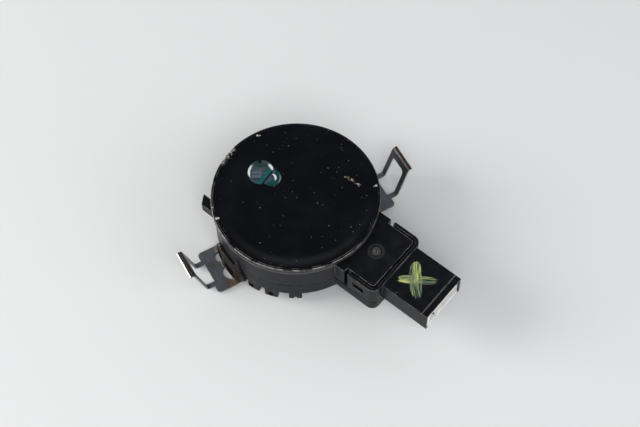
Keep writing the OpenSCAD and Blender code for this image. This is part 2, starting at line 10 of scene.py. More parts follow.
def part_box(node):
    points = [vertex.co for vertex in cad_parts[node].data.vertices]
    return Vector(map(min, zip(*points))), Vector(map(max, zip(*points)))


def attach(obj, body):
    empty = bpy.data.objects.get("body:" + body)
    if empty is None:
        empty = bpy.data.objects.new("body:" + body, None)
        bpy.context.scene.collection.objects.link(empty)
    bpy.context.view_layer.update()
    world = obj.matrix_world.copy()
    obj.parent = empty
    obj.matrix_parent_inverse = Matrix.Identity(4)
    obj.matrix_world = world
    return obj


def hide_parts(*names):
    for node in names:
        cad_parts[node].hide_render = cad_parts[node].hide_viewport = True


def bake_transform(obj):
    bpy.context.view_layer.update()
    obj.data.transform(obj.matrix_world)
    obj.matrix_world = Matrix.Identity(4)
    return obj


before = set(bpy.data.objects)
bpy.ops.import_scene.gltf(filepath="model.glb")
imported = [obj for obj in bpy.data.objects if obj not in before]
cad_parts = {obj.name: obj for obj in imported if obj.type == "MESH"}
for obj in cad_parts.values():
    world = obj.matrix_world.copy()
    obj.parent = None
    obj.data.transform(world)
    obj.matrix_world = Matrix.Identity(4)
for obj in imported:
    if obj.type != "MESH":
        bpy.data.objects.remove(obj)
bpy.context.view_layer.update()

# ---- camera ----
# It looks down at the glass face from between the arm and the left ear, a little tilted.

lens_centre = Vector((0, 0, 0.0202))
azimuth, elevation, roll = math.radians(40.53), math.radians(61.0), math.radians(-1.03)
back = Vector((math.sin(azimuth) * math.cos(elevation),
               -math.cos(azimuth) * math.cos(elevation), math.sin(elevation)))
level_right = Vector((math.cos(azimuth), math.sin(azimuth), 0))
level_up = back.cross(level_right)
tilted_right = level_right * math.cos(roll) + level_up * math.sin(roll)
tilted_up = level_up * math.cos(roll) - level_right * math.sin(roll)
lens_radius = 0.0225

camera_data = bpy.data.cameras.new("camera")
camera_data.lens = 78.83
camera_data.sensor_width = 36
camera_data.clip_start = 0.01
camera = bpy.data.objects.new("camera", camera_data)
bpy.context.scene.collection.objects.link(camera)
turn = Matrix((tilted_right, tilted_up, back)).transposed().to_4x4()
place = lens_centre + lens_radius * (16.4475 * back + 0.2828 * level_right - 0.2251 * level_up)
camera.matrix_world = Matrix.Translation(place) @ turn
bpy.context.scene.camera = camera
bpy.context.scene.view_settings.view_transform = "Standard"


# ---- floor and light ----
# A plain pale floor that curves up into a wall behind, three soft square lamps round the
# part, and a sky that is brighter near the horizon than overhead.

def add_node(tree, kind, inputs=None, **settings):
    """A shader node of one kind, with its settings and its unlinked or linked inputs."""
    made = tree.nodes.new("ShaderNode" + kind)
    for key, value in settings.items():
        setattr(made, key, value)
    for key, value in (inputs or {}).items():
        if isinstance(value, bpy.types.NodeSocket):
            tree.links.new(value, made.inputs[key])
        else:
            made.inputs[key].default_value = value
    return made


def maths(tree, operation, a, b=0.0, c=0.0):
    """The value of one Math node."""
    return add_node(tree, "Math", {0: a, 1: b, 2: c}, operation=operation).outputs[0]


def ramp(tree, value, low, high, at_low=0.0, at_high=1.0):
    """A value that goes smoothly from at_low to at_high as the input goes from low to high."""
    return add_node(tree, "MapRange", {0: value, 1: low, 2: high, 3: at_low, 4: at_high},
                    interpolation_type="SMOOTHSTEP").outputs[0]


def mix_colours(tree, share, a, b):
    """Colour a, going over to colour b by share."""
    made = add_node(tree, "Mix", {0: share, 6: a, 7: b}, data_type="RGBA")
    return made.outputs[2]


def surface_mesh(name, grid, closed_u=False, closed_v=False):
    """A mesh on a grid of points, grid[u, v] = (x, y, z). Each cell is a quad, and a closed
    direction joins its last row to its first."""
    rows, columns = grid.shape[:2]
    u = np.arange(rows if closed_u else rows - 1)
    v = np.arange(columns if closed_v else columns - 1)
    uu, vv = np.meshgrid(u, v, indexing="ij")
    un, vn = (uu + 1) % rows, (vv + 1) % columns
    faces = np.stack([uu * columns + vv, un * columns + vv, un * columns + vn, uu * columns + vn], -1)
    mesh = bpy.data.meshes.new(name)
    mesh.from_pydata(grid.reshape(-1, 3), [], faces.reshape(-1, 4).tolist())
    mesh.update()
    return mesh


def add_piece(name, mesh, material, sharp=40):
    """An object at the origin that shows the mesh in one material, shaded smooth up to an angle."""
    piece = bpy.data.objects.new(name, mesh)
    bpy.context.scene.collection.objects.link(piece)
    mesh.materials.clear()
    mesh.materials.append(material)
    mesh.polygons.foreach_set("use_smooth", np.ones(len(mesh.polygons), bool))
    mesh.set_sharp_from_angle(angle=math.radians(sharp))
    return piece


# The floor is level in front and rises along a quarter circle far behind the part.
floor_half, bend_radius = 1.2, 0.5
arc = np.linspace(0, math.pi / 2, 16)
run = np.concatenate([[-floor_half], 0.7 + bend_radius * np.sin(arc), [0.7 + bend_radius]])
rise = np.concatenate([[0], bend_radius * (1 - np.cos(arc)), [1.6]])
side = np.linspace(-floor_half, floor_half, 9)
away = np.array([-math.sin(azimuth), math.cos(azimuth)])
across = np.array([math.cos(azimuth), math.sin(azimuth)])
floor_grid = np.zeros((len(side), len(run), 3))
floor_grid[..., :2] = side[:, None, None] * across + run[None, :, None] * away
floor_grid[..., 2] = rise[None, :] - 0.00002
floor_material = bpy.data.materials.new("pale_floor")
floor_material.use_nodes = True
floor_shader = floor_material.node_tree.nodes["Principled BSDF"]
floor_shader.inputs["Base Color"].default_value = (0.74, 0.745, 0.75, 1)
floor_shader.inputs["Roughness"].default_value = 0.85
floor = add_piece("floor", surface_mesh("floor", floor_grid), floor_material)

world = bpy.data.worlds.new("sky")
bpy.context.scene.world = world
world.use_nodes = True
tree = world.node_tree
tree.nodes.clear()
sky_direction = add_node(tree, "NewGeometry").outputs["Incoming"]
sky_height = maths(tree, "ABSOLUTE", add_node(tree, "SeparateXYZ", {0: sky_direction}).outputs[2])
sky_light = ramp(tree, sky_height, 0.73, 0.85, 0.64, 0.09)
sky = add_node(tree, "Background", {"Color": (0.97, 0.985, 1.0, 1), "Strength": sky_light})
add_node(tree, "OutputWorld", {0: sky.outputs[0]})


def add_lamp(name, direction, distance, size, power, colour):
    """A square area lamp at a distance along a direction from the part, facing it."""
    lamp_data = bpy.data.lights.new(name, "AREA")
    lamp_data.size = size
    lamp_data.energy = power
    lamp_data.color = colour
    lamp = bpy.data.objects.new(name, lamp_data)
    toward = Vector(direction).normalized()
    lamp.matrix_world = (Matrix.Translation(toward * distance)
                         @ toward.to_track_quat("Z", "Y").to_matrix().to_4x4())
    bpy.context.scene.collection.objects.link(lamp)


add_lamp("window_lamp", (-0.62, -0.52, 0.42), 0.8, 0.42, 4.2, (1.0, 0.985, 0.96))
add_lamp("top_lamp", (0.55, -0.50, 0.95), 0.9, 0.5, 3.2, (1.0, 1.0, 1.0))
add_lamp("fill_lamp", (1.0, 0.35, 0.5), 0.9, 0.5, 1.6, (0.95, 0.98, 1.0))


# ---- rear cover ----
# Lower half of the housing, moulded in black glass-filled plastic, with the rear boss, the
# lugs under its wall and the arm's floor. It snaps into the socket's rim with two latches.

def make_group(name, inputs, outputs):
    """A shader node group with named inputs (name, kind, value) and outputs (name, kind)."""
    group = bpy.data.node_groups.new(name, "ShaderNodeTree")
    for label, kind, value in inputs:
        socket = group.interface.new_socket(label, in_out="INPUT", socket_type="NodeSocket" + kind)
        socket.default_value = value
    for label, kind in outputs:
        group.interface.new_socket(label, in_out="OUTPUT", socket_type="NodeSocket" + kind)
    return group, group.nodes.new("NodeGroupInput").outputs, group.nodes.new("NodeGroupOutput").inputs


def place_group(tree, group, inputs):
    """A group placed in a material with its own values. Returns its outputs."""
    made = tree.nodes.new("ShaderNodeGroup")
    made.node_tree = group
    for key, value in inputs.items():
        if isinstance(value, bpy.types.NodeSocket):
            tree.links.new(value, made.inputs[key])
        else:
            made.inputs[key].default_value = value
    return made.outputs


def noise(tree, place, scale, detail, distortion=0.0):
    """Noise from 0 to 1 at a place."""
    inputs = {"Vector": place, "Scale": scale, "Detail": detail, "Distortion": distortion}
    return add_node(tree, "TexNoise", inputs).outputs[0]


def feed(shader, name, value):
    """Links a value or colour to one input of a shader."""
    shader.id_data.links.new(value, shader.inputs[name])


# Worn edges that double as painted edge highlights: where the surface turns within a small width, broken up
# by coarse noise.
edge_wear_and_highlight, group_in, group_out = make_group(
    "edge_wear_and_highlight", [("Width", "Float", 0.0001), ("Wear", "Float", 0.5), ("Patch", "Float", 350.0)],
    [("Mask", "Float")])
rounded = add_node(edge_wear_and_highlight, "Bevel", {"Radius": group_in["Width"]}, samples=6).outputs[0]
flat_normal = add_node(edge_wear_and_highlight, "NewGeometry").outputs["Normal"]
agreement = add_node(edge_wear_and_highlight, "VectorMath", {0: rounded, 1: flat_normal},
                     operation="DOT_PRODUCT").outputs["Value"]
turned = ramp(edge_wear_and_highlight, agreement, 0.995, 0.86)
place_on_part = add_node(edge_wear_and_highlight, "TexCoord").outputs["Object"]
patches = noise(edge_wear_and_highlight, place_on_part, group_in["Patch"], 3.0)
kept = ramp(edge_wear_and_highlight, patches, 0.68, 0.42)
edge_wear_and_highlight.links.new(maths(edge_wear_and_highlight, "MULTIPLY", maths(edge_wear_and_highlight, "MULTIPLY", turned, kept),
                          group_in["Wear"]),
                    group_out["Mask"])

# Grain: the fine spark-eroded texture of a mould, as a height from 0 to 1.
mould_grain, group_in, group_out = make_group(
    "mould_grain", [("Scale", "Float", 4200.0), ("Flow", "Float", 500.0)], [("Height", "Float"),
                                                                            ("Tone", "Float")])
place_on_part = add_node(mould_grain, "TexCoord").outputs["Object"]
fine = noise(mould_grain, place_on_part, group_in["Scale"], 2.0)
flow = noise(mould_grain, place_on_part, group_in["Flow"], 4.0)
mould_grain.links.new(fine, group_out["Height"])
mould_grain.links.new(flow, group_out["Tone"])

# Dust: small pale specks, one in some of the cells of a cell pattern, and sparse lint.
dust, group_in, group_out = make_group(
    "dust", [("Scale", "Float", 700.0), ("Amount", "Float", 0.2),
             ("Size", "Float", 0.09)], [("Mask", "Float")])
place_on_part = add_node(dust, "TexCoord").outputs["Object"]
wander = add_node(dust, "TexNoise", {"Vector": place_on_part, "Scale": 2600.0,
                                     "Detail": 1.0}).outputs["Color"]
shaken = add_node(dust, "VectorMath", {0: wander, 1: (0.00016, 0.00016, 0.00016), 2: place_on_part},
                  operation="MULTIPLY_ADD").outputs[0]
cells = add_node(dust, "TexVoronoi", {"Vector": shaken, "Scale": group_in["Scale"]})
chosen = maths(dust, "LESS_THAN", add_node(dust, "SeparateColor", {0: cells.outputs["Color"]}).outputs[0],
               group_in["Amount"])
spread = add_node(dust, "SeparateColor", {0: cells.outputs["Color"]}).outputs[1]
reach = maths(dust, "MULTIPLY", maths(dust, "MULTIPLY_ADD", spread, 1.2, 0.25), group_in["Size"])
speck = maths(dust, "LESS_THAN", cells.outputs["Distance"], reach)
dust.links.new(maths(dust, "MULTIPLY", speck, chosen), group_out["Mask"])


def new_material(name):
    """A material with an empty tree but for its output and Principled shader."""
    material = bpy.data.materials.new(name)
    material.use_nodes = True
    return material, material.node_tree, material.node_tree.nodes["Principled BSDF"]


def link_bump(tree, shader, height, depth, strength=1.0):
    """Feeds a height through a Bump node to the shader's normal. depth is in metres."""
    made = add_node(tree, "Bump", {"Height": height, "Distance": depth, "Strength": strength})
    feed(shader, "Normal", made.outputs[0])


def black_plastic(name, colour, worn_and_highlight_colour, roughness, edge_width, dust_amount):
    """Black moulded plastic: slow tone changes, fine grain, pale edges that are partly rubbed and partly
    painted edge highlights, and a few specks.
    """
    material, tree, shader = new_material(name)
    grain = place_group(tree, mould_grain, {"Scale": 4200.0, "Flow": 420.0})
    wear_and_highlight_mask = place_group(tree, edge_wear_and_highlight, {"Width": edge_width, "Wear": 1.0, "Patch": 420.0})["Mask"]
    specks = place_group(tree, dust, {"Scale": 560.0, "Amount": dust_amount, "Size": 0.075})["Mask"]
    lighter = tuple(1.7 * c for c in colour[:3]) + (1,)
    toned = mix_colours(tree, ramp(tree, grain["Tone"], 0.35, 0.7), colour, lighter)
    rubbed_and_highlit = mix_colours(tree, wear_and_highlight_mask, toned, worn_and_highlight_colour)
    dusty = mix_colours(tree, maths(tree, "MULTIPLY", specks, 0.55), rubbed_and_highlit, (0.34, 0.33, 0.31, 1))
    feed(shader, "Base Color", dusty)
    rough = maths(tree, "MULTIPLY_ADD", grain["Tone"], 0.16, roughness)
    feed(shader, "Roughness", maths(tree, "MULTIPLY_ADD", specks, 0.3, rough))
    shader.inputs["Specular IOR Level"].default_value = 0.12
    link_bump(tree, shader, grain["Height"], 0.00002, 0.55)
    return material


def rounded_copy(node, body, material, width):
    """A copy of a moulded or pressed solid with its sharp edges rounded by width. The loose
    triangles are merged and its flat faces joined before the edges are cut."""
    corner_angle = 30
    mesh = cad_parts[node].data.copy()
    work = bmesh.new()
    work.from_mesh(mesh)
    bmesh.ops.remove_doubles(work, verts=work.verts, dist=2e-6)
    bmesh.ops.dissolve_limit(work, angle_limit=math.radians(0.5), verts=work.verts, edges=work.edges)
    work.to_mesh(mesh)
    work.free()
    piece = add_piece(node + "_finished", mesh, material, sharp=corner_angle)
    bevel = piece.modifiers.new("rounded_edges", "BEVEL")
    bevel.width = width
    bevel.segments = 2
    bevel.limit_method = "ANGLE"
    bevel.angle_limit = math.radians(corner_angle)
    bevel.use_clamp_overlap = True
    bevel.harden_normals = True
    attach(piece, body)
    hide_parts(node)
    return piece


cover_plastic = black_plastic("cover_plastic", (0.0045, 0.005, 0.0065, 1), (0.11, 0.105, 0.10, 1), 0.30,
                              0.00013, 0.05)
rounded_copy("rear_cover", "housing", cover_plastic, 0.00012)

# ---- front body ----
# Upper half of the housing in the same plastic: the round wall, the arm's plate with the
# mark that the mould's gate left in a shallow dish, the lens seat and the locating tab.

# Its pale edge colour is mostly a painted edge highlight, with some rubbing.
body_plastic = black_plastic("body_plastic", (0.005, 0.0055, 0.0075, 1), (0.50, 0.48, 0.45, 1), 0.27,
                             0.00020, 0.09)


def both(tree, a, b):
    """The product of two masks."""
    return maths(tree, "MULTIPLY", a, b)


def distance(tree, x, y, centre):
    """How far a place on a level face is from a point on it."""
    dx = maths(tree, "SUBTRACT", x, centre[0])
    dy = maths(tree, "SUBTRACT", y, centre[1])
    return maths(tree, "SQRT", maths(tree, "ADD", both(tree, dx, dx), both(tree, dy, dy)))


def ring_mask(tree, x, y, centre, radius, half_width, soft):
    """1 near a circle's line on a level face, 0 away from it."""
    off = maths(tree, "ABSOLUTE", maths(tree, "SUBTRACT", distance(tree, x, y, centre), radius))
    return ramp(tree, off, half_width + soft, half_width - soft)


# The gate mark, painted as highlights: a faint pale ring on the dish's slope, a brighter thin ring on the
# ring's crest and two glints as bright dots.
tree = body_plastic.node_tree
shader = tree.nodes["Principled BSDF"]
gate = (0.0261, 0.0015)
x, y, z = add_node(tree, "SeparateXYZ", {0: add_node(tree, "TexCoord").outputs["Object"]}).outputs
on_plate = ramp(tree, z, 0.01710, 0.01716)
gate_highlights = [(0.0, 0.0, 0.0019, 0.00035, 0.00025, 0.10), (0.0, 0.0, 0.00095, 0.00006, 0.00005, 0.55),
         (-0.00022, -0.00022, 0.0, 0.00009, 0.00005, 1.0), (0.00028, 0.0002, 0.0, 0.00009, 0.00005, 1.0)]
colour_now = shader.inputs["Base Color"].links[0].from_socket
for mx, my, radius, half_width, soft, share in gate_highlights:
    highlight_mask = maths(tree, "MULTIPLY", ring_mask(tree, x, y, (gate[0] + mx, gate[1] + my), radius, half_width,
                                             soft), on_plate)
    colour_now = mix_colours(tree, maths(tree, "MULTIPLY", highlight_mask, share), colour_now, (0.20, 0.195, 0.19, 1))
feed(shader, "Base Color", colour_now)
rounded_copy("front_body", "housing", body_plastic, 0.0001)

# ---- plug socket ----
# Rim and shroud for the plug, moulded in one and slid into the arm. Someone brushed a
# yellow-green cross on its top by hand, with a nearly dry brush.

# Its pale edge colour is mostly a painted edge highlight, with some rubbing.
socket_plastic = black_plastic("socket_plastic", (0.0045, 0.005, 0.0065, 1), (0.50, 0.48, 0.45, 1), 0.27,
                               0.00015, 0.06)


def brush_stroke(tree, x, y, start, end, half_width, bow, seed, load):
    """Paint cover and thickness of one dry-brush stroke between two points, as values 0 to 1.
    Along the stroke and across it are turned coordinates; the middle bows sideways by a
    parabola, the width tapers to both ends, and noise drawn out along the stroke makes the
    bristle streaks. The paint lies thickest where the brush was set down."""
    length = math.dist(start, end)
    ux, uy = (end[0] - start[0]) / length, (end[1] - start[1]) / length
    dx, dy = maths(tree, "SUBTRACT", x, start[0]), maths(tree, "SUBTRACT", y, start[1])
    along = maths(tree, "DIVIDE", maths(tree, "MULTIPLY_ADD", dx, ux, maths(tree, "MULTIPLY", dy, uy)),
                  length)
    sideways = maths(tree, "MULTIPLY_ADD", dy, ux, maths(tree, "MULTIPLY", dx, -uy))
    hump = maths(tree, "MULTIPLY", maths(tree, "MULTIPLY", along, maths(tree, "SUBTRACT", 1.0, along)), 4.0)
    off = maths(tree, "MULTIPLY_ADD", hump, -bow, sideways)
    place = add_node(tree, "CombineXYZ", {0: maths(tree, "MULTIPLY", along, 2.2),
                                          1: maths(tree, "MULTIPLY", off, 5200.0), 2: seed})
    bristle = noise(tree, place.outputs[0], 1.0, 3.0)
    ragged = noise(tree, place.outputs[0], 0.45, 2.0)
    width = maths(tree, "MULTIPLY_ADD", maths(tree, "SQRT", maths(tree, "MAXIMUM", hump, 0.0)),
                  half_width * 0.50, half_width * 0.50)
    edge = maths(tree, "DIVIDE", maths(tree, "ABSOLUTE", off), width)
    inside = ramp(tree, edge, 1.02, 0.86)
    tip = maths(tree, "MULTIPLY", ragged, 0.22)
    begins = ramp(tree, maths(tree, "ADD", along, tip), 0.07, 0.11)
    finishes = ramp(tree, maths(tree, "SUBTRACT", along, tip), 0.96, 0.84)
    within = both(tree, inside, both(tree, begins, finishes))
    thin_out = maths(tree, "MULTIPLY_ADD", along, -0.14, load)
    cover = both(tree, within, ramp(tree, maths(tree, "ADD", bristle, thin_out), 0.46, 0.60))
    body = both(tree, within, ramp(tree, maths(tree, "MULTIPLY_ADD", along, -0.12, bristle), 0.40, 0.62))
    return cover, body


tree = socket_plastic.node_tree
shader = tree.nodes["Principled BSDF"]
place_on_part = add_node(tree, "TexCoord").outputs["Object"]
x, y, z = add_node(tree, "SeparateXYZ", {0: place_on_part}).outputs
up_face = both(tree, ramp(tree, z, 0.01712, 0.01716), ramp(tree, z, 0.01728, 0.01724))
under_cover, under_body = brush_stroke(tree, x, y, (0.03545, -0.00100), (0.04335, 0.00458), 0.00128,
                                       0.00006, 3.1, 0.19)
over_cover, over_body = brush_stroke(tree, x, y, (0.03618, 0.00548), (0.04233, -0.00200), 0.00172,
                                     -0.00040, 7.7, 0.18)
cover = both(tree, maths(tree, "MAXIMUM", under_cover, over_cover), up_face)
body = maths(tree, "MAXIMUM", both(tree, under_body, maths(tree, "SUBTRACT", 1.0, over_cover)), over_body)
paint = mix_colours(tree, body, (0.10, 0.155, 0.120, 1), (0.50, 0.54, 0.11, 1))
thick_paint = mix_colours(tree, ramp(tree, body, 0.6, 1.0), paint, (0.68, 0.68, 0.20, 1))
bare = shader.inputs["Base Color"].links[0].from_socket
feed(shader, "Base Color", mix_colours(tree, cover, bare, thick_paint))
bare_gloss = shader.inputs["Roughness"].links[0].from_socket
feed(shader, "Roughness", maths(tree, "MULTIPLY_ADD", cover, 0.22, bare_gloss))
grain_bump = shader.inputs["Normal"].links[0].from_node
paint_bump = add_node(tree, "Bump", {"Height": maths(tree, "MULTIPLY", cover,
                                                     maths(tree, "MULTIPLY_ADD", body, 0.7, 0.3)),
                                     "Distance": 0.00012, "Strength": 0.8, "Normal": grain_bump.outputs[0]})
feed(shader, "Normal", paint_bump.outputs[0])
rounded_copy("plug_socket", "housing", socket_plastic, 0.0001)

# ---- socket liner ----
# White insert that lines the mouth of the socket and guides the plug.

liner_plastic, tree, shader = new_material("liner_plastic")
grain = place_group(tree, mould_grain, {"Scale": 5200.0, "Flow": 300.0})
soiled = ramp(tree, grain["Tone"], 0.42, 0.75)
feed(shader, "Base Color", mix_colours(tree, soiled, (0.80, 0.80, 0.785, 1), (0.66, 0.655, 0.63, 1)))
shader.inputs["Roughness"].default_value = 0.42
link_bump(tree, shader, grain["Height"], 0.00001, 0.4)
rounded_copy("socket_liner", "housing", liner_plastic, 0.00008)


# ---- contact pins ----
# Four square tinned brass pins, bent down behind the socket and soldered to the board.

def plain_metal(name, colour, tarnish, roughness, scale):
    """Bare metal with slow tarnish and a rolled grain that changes its gloss."""
    material, tree, shader = new_material(name)
    place_on_part = add_node(tree, "TexCoord").outputs["Object"]
    cloud = noise(tree, place_on_part, scale, 5.0)
    feed(shader, "Base Color", mix_colours(tree, ramp(tree, cloud, 0.4, 0.7), colour, tarnish))
    feed(shader, "Roughness", ramp(tree, cloud, 0.3, 0.8, roughness, roughness + 0.2))
    shader.inputs["Metallic"].default_value = 1.0
    return material


def dress(node, material):
    """Gives a node whose shape is right its material."""
    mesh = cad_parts[node].data
    mesh.materials.clear()
    mesh.materials.append(material)


pin_metal = plain_metal("pin_metal", (0.62, 0.55, 0.38, 1), (0.40, 0.33, 0.22, 1), 0.25, 900.0)
rounded_copy("contact_pins", "housing", pin_metal, 0.00007)

# ---- lens disc ----
# Black polycarbonate disc that the optics are moulded into, clear only at the light window.
# It is bonded to the housing's seat and carries the coupling pad.

lens_black, tree, shader = new_material("lens_black")
place_on_part = add_node(tree, "TexCoord").outputs["Object"]
smear = noise(tree, place_on_part, 260.0, 4.0)
# The pale rim colour is partly wear and partly a painted highlight on the rim.
rim_wear_and_highlight = place_group(tree, edge_wear_and_highlight, {"Width": 0.0002, "Wear": 0.9, "Patch": 900.0})["Mask"]
smeared = mix_colours(tree, ramp(tree, smear, 0.4, 0.7), (0.006, 0.006, 0.008, 1), (0.030, 0.019, 0.014, 1))
feed(shader, "Base Color", mix_colours(tree, rim_wear_and_highlight, smeared, (0.30, 0.24, 0.20, 1)))
feed(shader, "Roughness", ramp(tree, smear, 0.3, 0.7, 0.16, 0.36))
rounded_copy("lens_disc", "housing", lens_black, 0.00005)

window_clear, tree, shader = new_material("window_clear")
place_on_part = add_node(tree, "TexCoord").outputs["Object"]
haze = noise(tree, place_on_part, 600.0, 3.0)
tree.links.new(mix_colours(tree, ramp(tree, haze, 0.3, 0.7), (0.02, 0.07, 0.085, 1), (0.05, 0.11, 0.12, 1)),
               shader.inputs["Base Color"])
shader.inputs["Roughness"].default_value = 0.08
dress("light_window", window_clear)

# ---- coupling pad ----
# Disc of black silicone that was cast against a smooth sheet, so its face is glossy. Its
# die-cut rim has fine upright ridges and some nicks, and lint clings to the face.

pad_low, pad_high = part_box("coupling_pad")
pad_radius, pad_bottom, pad_top = pad_high.x, pad_low.z, pad_high.z


def pad_grid(around, face_rings):
    """Profile of the pad's half section, turned round its axis: a face that is level in the
    middle and curls up a little near its edge, a soft shoulder, the rim and the underside.
    The rim's radius carries the die's ridges (a fast sine of the angle whose depth comes and
    goes) and a few nicks (narrow dips)."""
    shoulder = 0.00028
    curl_start, curl_width, hollow_depth = 0.0176, 0.0044, 0.00030
    face = np.linspace(0, 1, face_rings) ** 0.6 * (pad_radius - shoulder)
    turn_down = np.linspace(0, math.pi / 2, 7)[1:]
    radius = np.concatenate([face, pad_radius - shoulder + shoulder * np.sin(turn_down),
                             [pad_radius, pad_radius - 0.00005, pad_radius - 0.0002, 0.01, 0.0]])
    curl = np.clip((face - curl_start) / curl_width, 0, 1)
    hollow = hollow_depth * (1 - curl * curl * (3 - 2 * curl))
    height = np.concatenate([pad_top - hollow, pad_top - shoulder * (1 - np.cos(turn_down)),
                             [pad_top - 0.0007, pad_bottom + 0.00008, pad_bottom, pad_bottom, pad_bottom]])
    angle = np.linspace(0, 2 * math.pi, around, endpoint=False)
    ridges = 0.5 - 0.5 * np.cos(260 * angle)
    swell = np.clip(np.sin(3 * angle + 0.6) + 0.6 * np.sin(7 * angle + 2.0) + 0.3, 0, 1)
    nick_angles = np.radians([179, 182.5, 185, 189, 193, 210, 222, 236, 268, 291, 306, 318, 331])
    nick_widths = np.radians([0.8, 1.4, 0.7, 1.6, 0.6, 0.5, 0.6, 0.5, 0.7, 0.5, 0.6, 0.5, 0.6])
    nick_depths = 0.00001 * np.array([20, 34, 16, 30, 16, 10, 12, 9, 12, 10, 10, 9, 10])
    apart = (angle[:, None] - nick_angles + math.pi) % (2 * math.pi) - math.pi
    nicks = (nick_depths * np.exp(-(apart / nick_widths) ** 2)).sum(1)
    cut = 0.00004 * ridges * swell + nicks
    near_rim = np.clip((radius - pad_radius + 0.0009) / 0.0009, 0, 1) ** 2
    final = radius[None, :] - cut[:, None] * near_rim[None, :]
    sink = 0.6 * nicks[:, None] * near_rim[None, :] * (height[None, :] > pad_top - shoulder / 2)
    return np.stack([final * np.cos(angle)[:, None], final * np.sin(angle)[:, None],
                     height[None, :] - sink], -1)


pad_silicone, tree, shader = new_material("pad_silicone")
place_on_part = add_node(tree, "TexCoord").outputs["Object"]
parts = add_node(tree, "SeparateXYZ", {0: place_on_part})
x, y, z = parts.outputs


def disc_mask(tree, x, y, centre, radius, soft):
    """1 inside a circle on the face, 0 outside, with a soft edge."""
    return ramp(tree, distance(tree, x, y, centre), radius + soft, radius - soft)


def either(tree, a, b):
    """The larger of two masks."""
    return maths(tree, "MAXIMUM", a, b)


def arc_mask(tree, x, y, centre, radius, half_width, toward, half_angle, soft=0.0001):
    """1 on a crescent: near a circle's line, over an angle to each side of a direction."""
    dx = maths(tree, "SUBTRACT", x, centre[0])
    dy = maths(tree, "SUBTRACT", y, centre[1])
    apart = maths(tree, "SQRT", maths(tree, "ADD", both(tree, dx, dx), both(tree, dy, dy)))
    facing = maths(tree, "DIVIDE", maths(tree, "MULTIPLY_ADD", dx, math.cos(toward),
                                         both(tree, dy, math.sin(toward))), apart)
    wide = maths(tree, "MULTIPLY", ramp(tree, facing, math.cos(half_angle), 1.0), half_width)
    off = maths(tree, "SUBTRACT", maths(tree, "ABSOLUTE", maths(tree, "SUBTRACT", apart, radius)), wide)
    return both(tree, ramp(tree, off, soft, -soft),
                ramp(tree, facing, math.cos(half_angle) - 0.02, math.cos(half_angle) + 0.02))


def card_mask(tree, x, y, centre, half_length, half_width, angle, soft):
    """1 inside a turned rectangle on the face."""
    dx = maths(tree, "SUBTRACT", x, centre[0])
    dy = maths(tree, "SUBTRACT", y, centre[1])
    along = maths(tree, "ABSOLUTE", maths(tree, "MULTIPLY_ADD", dx, math.cos(angle),
                                          both(tree, dy, math.sin(angle))))
    aside = maths(tree, "ABSOLUTE", maths(tree, "MULTIPLY_ADD", dy, math.cos(angle),
                                          both(tree, dx, -math.sin(angle))))
    return both(tree, ramp(tree, along, half_length + soft, half_length - soft),
                ramp(tree, aside, half_width + soft, half_width - soft))


# The window: a clear round eye and its side lobe. Behind it lie the sensor's chip and a teal filter band,
# and the light pipe's curved wall glints in three crescents, which are painted highlights; a fainter painted
# highlight follows the lobe's edge.
eye_centre, eye_radius = (-0.0117, -0.0004), 0.0037
lobe_centre, lobe_radius = (-0.0084, 0.0001), 0.0026
cloud = noise(tree, place_on_part, 120.0, 4.0)
face_colour = mix_colours(tree, ramp(tree, cloud, 0.4, 0.75), (0.0022, 0.0026, 0.0038, 1),
                          (0.0045, 0.005, 0.007, 1))
eye = disc_mask(tree, x, y, eye_centre, eye_radius, 0.00008)
lobe = disc_mask(tree, x, y, lobe_centre, lobe_radius, 0.00008)
glow = ramp(tree, noise(tree, place_on_part, 520.0, 2.0), 0.35, 0.65)
eye_colour = mix_colours(tree, glow, (0.020, 0.038, 0.045, 1), (0.045, 0.070, 0.082, 1))
eye_colour = mix_colours(tree, card_mask(tree, x, y, (-0.0122, -0.0017), 0.00125, 0.00105, 0.72, 0.00012),
                         eye_colour,
                         (0.085, 0.105, 0.135, 1))
eye_colour = mix_colours(tree, card_mask(tree, x, y, (-0.0122, -0.0017), 0.0010, 0.0002, 0.72, 0.0001),
                         eye_colour,
                         (0.040, 0.052, 0.075, 1))
eye_colour = mix_colours(tree, card_mask(tree, x, y, (-0.0101, -0.0006), 0.0034, 0.00055, 1.68, 0.00014),
                         eye_colour,
                         (0.008, 0.085, 0.095, 1))
lobe_colour = mix_colours(tree, glow, (0.004, 0.030, 0.040, 1), (0.010, 0.055, 0.066, 1))
window_colour = mix_colours(tree, eye, lobe_colour, eye_colour)
dark_gap = card_mask(tree, x, y, (-0.0093, -0.0005), 0.0026, 0.00022, 1.66, 0.0001)
window_colour = mix_colours(tree, dark_gap, window_colour, (0.003, 0.005, 0.006, 1))
window_colour = mix_colours(tree, disc_mask(tree, x, y, (-0.0141, 0.0019), 0.0005, 0.0002), window_colour,
                            (0.004, 0.005, 0.006, 1))
crescents = either(tree, arc_mask(tree, x, y, eye_centre, 0.00325, 0.00030, math.radians(212), 0.70),
                   either(tree, arc_mask(tree, x, y, eye_centre, 0.0031, 0.00036, math.radians(72), 0.42),
                          arc_mask(tree, x, y, (-0.0086, -0.0003), 0.00145, 0.00027, math.radians(60), 0.9)))
window_colour = mix_colours(tree, crescents, window_colour, (0.66, 0.68, 0.67, 1))
window_colour = mix_colours(tree, arc_mask(tree, x, y, lobe_centre, 0.0023, 0.00013, math.radians(30),
                                           0.7), window_colour,
                            (0.20, 0.22, 0.22, 1))
face_colour = mix_colours(tree, either(tree, eye, lobe), face_colour, window_colour)
